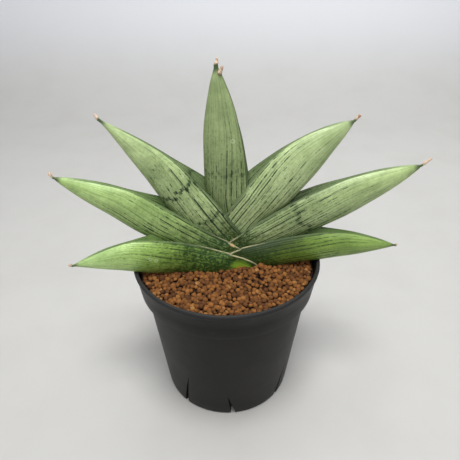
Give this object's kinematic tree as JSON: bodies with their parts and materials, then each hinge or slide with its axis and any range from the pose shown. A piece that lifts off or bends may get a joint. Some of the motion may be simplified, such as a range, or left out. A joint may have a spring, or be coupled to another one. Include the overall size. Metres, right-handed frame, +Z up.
{
  "type": "potted snake plant",
  "caption": "Dwarf snake plant with thick, channelled, spine-tipped leaves fanned in two ranks, growing from granular substrate in a round plastic nursery pot with a deep collar.",
  "frame": {"origin": "centre of the pot's flat underside, on the pot's axis", "axes": "+Z up along the pot's axis; +X to the right along the plane in which the leaves fan out; -Y towards the front, where the sheathing margins of the lower leaves show"},
  "size_m": [0.2149, 0.12, 0.2241],
  "materials": {
    "pot_plastic": "satin black polypropylene with light dust and scuffs",
    "granules": "matt, coarse fired-clay granules, orange to red-brown",
    "root_flesh": "pale, fleshy, slightly waxy",
    "leaf_sage": "waxy sage green with broken dark green lines along the leaf, cream margins and a dry tan spine",
    "leaf_olive": "waxy yellow-green with broken dark green lines, cream margins and a dry tan spine"
  },
  "bodies": {
    "root": {"pot": "pot_plastic", "substrate": "granules", "rhizome": "root_flesh", "leaf_centre": "leaf_sage", "leaf_upper_right": "leaf_sage", "leaf_upper_left": "leaf_sage", "leaf_middle_right": "leaf_sage", "leaf_middle_left": "leaf_sage", "leaf_lower_right": "leaf_olive", "leaf_lower_left": "leaf_olive"}
  },
  "joints": []
}
